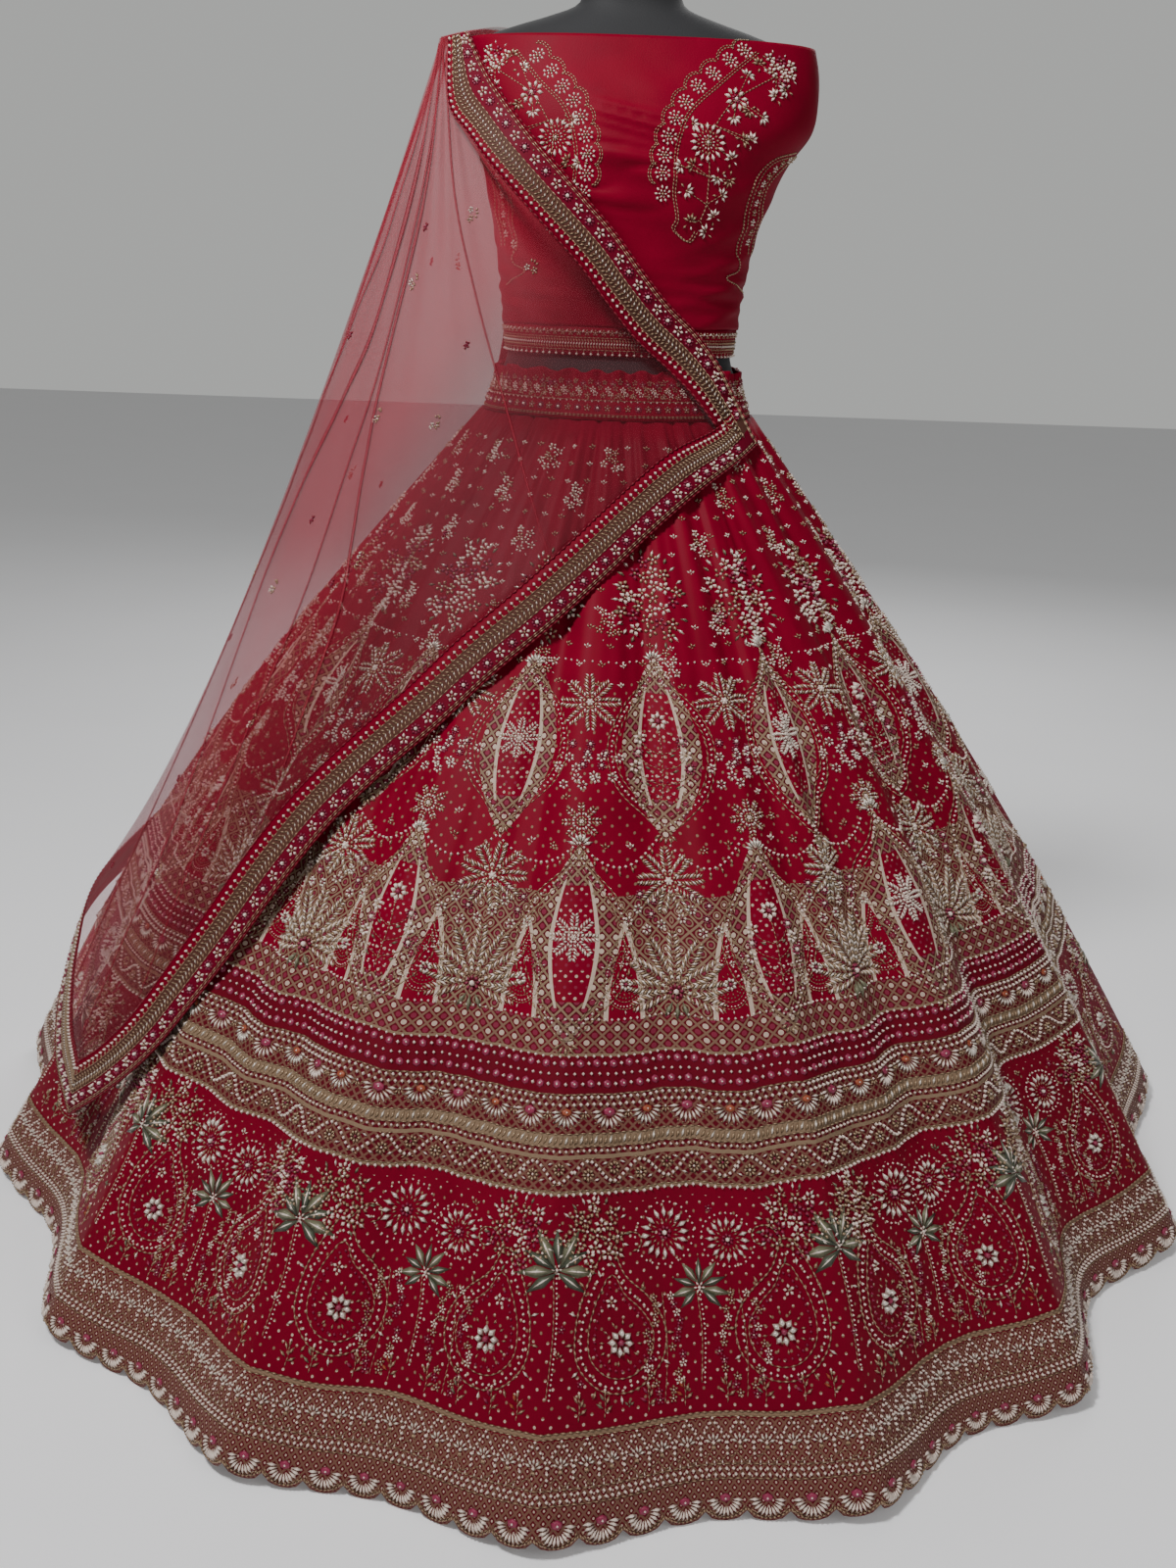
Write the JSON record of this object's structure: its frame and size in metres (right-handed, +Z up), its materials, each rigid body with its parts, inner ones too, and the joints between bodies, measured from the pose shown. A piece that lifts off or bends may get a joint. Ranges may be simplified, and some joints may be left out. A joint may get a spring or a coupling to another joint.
{
  "type": "lehenga choli with dupatta on a dress form",
  "caption": "Flared skirt in folds with a scalloped hem, strapless wrapped blouse and a sheer bordered drape from one shoulder, worn by a plain dress form on a round stand.",
  "frame": {"origin": "centre of the stand base's flat underside, on the floor and on the form's axis", "axes": "+Z up, -Y the front of the garment, +X the viewer's right when facing the front"},
  "size_m": [1.6166, 1.605, 1.4643],
  "materials": {
    "crimson_silk": "soft satin silk with embroidery in gold, ivory and dusty pink",
    "crimson_net": "sheer fine net",
    "gold_border": "beaded and sequinned border on crimson silk",
    "black_jersey": "matt black stretch cover",
    "black_metal": "satin black paint"
  },
  "bodies": {
    "root": {"choli_back": "crimson_silk", "choli_front": "crimson_silk", "choli_hem_band_back": "gold_border", "choli_hem_band_front": "gold_border", "dupatta_border_back_end": "gold_border", "dupatta_border_back_left": "gold_border", "dupatta_border_back_right": "gold_border", "dupatta_border_chest": "gold_border", "dupatta_border_end": "gold_border", "dupatta_border_side": "gold_border", "dupatta_net_back": "crimson_net", "dupatta_net_front": "crimson_net", "dupatta_shoulder_tuck": "crimson_net", "form_base": "black_metal", "form_neck_cap": "black_metal", "form_pole": "black_metal", "form_torso": "black_jersey", "lehenga_kali_01": "crimson_silk", "lehenga_kali_02": "crimson_silk", "lehenga_kali_03": "crimson_silk", "lehenga_kali_04": "crimson_silk", "lehenga_kali_05": "crimson_silk", "lehenga_kali_06": "crimson_silk", "lehenga_kali_07": "crimson_silk", "lehenga_kali_08": "crimson_silk", "lehenga_kali_09": "crimson_silk", "lehenga_kali_10": "crimson_silk", "lehenga_kali_11": "crimson_silk", "lehenga_kali_12": "crimson_silk", "lehenga_kali_13": "crimson_silk", "lehenga_kali_14": "crimson_silk", "lehenga_kali_15": "crimson_silk", "lehenga_waistband": "crimson_silk"}
  },
  "joints": []
}
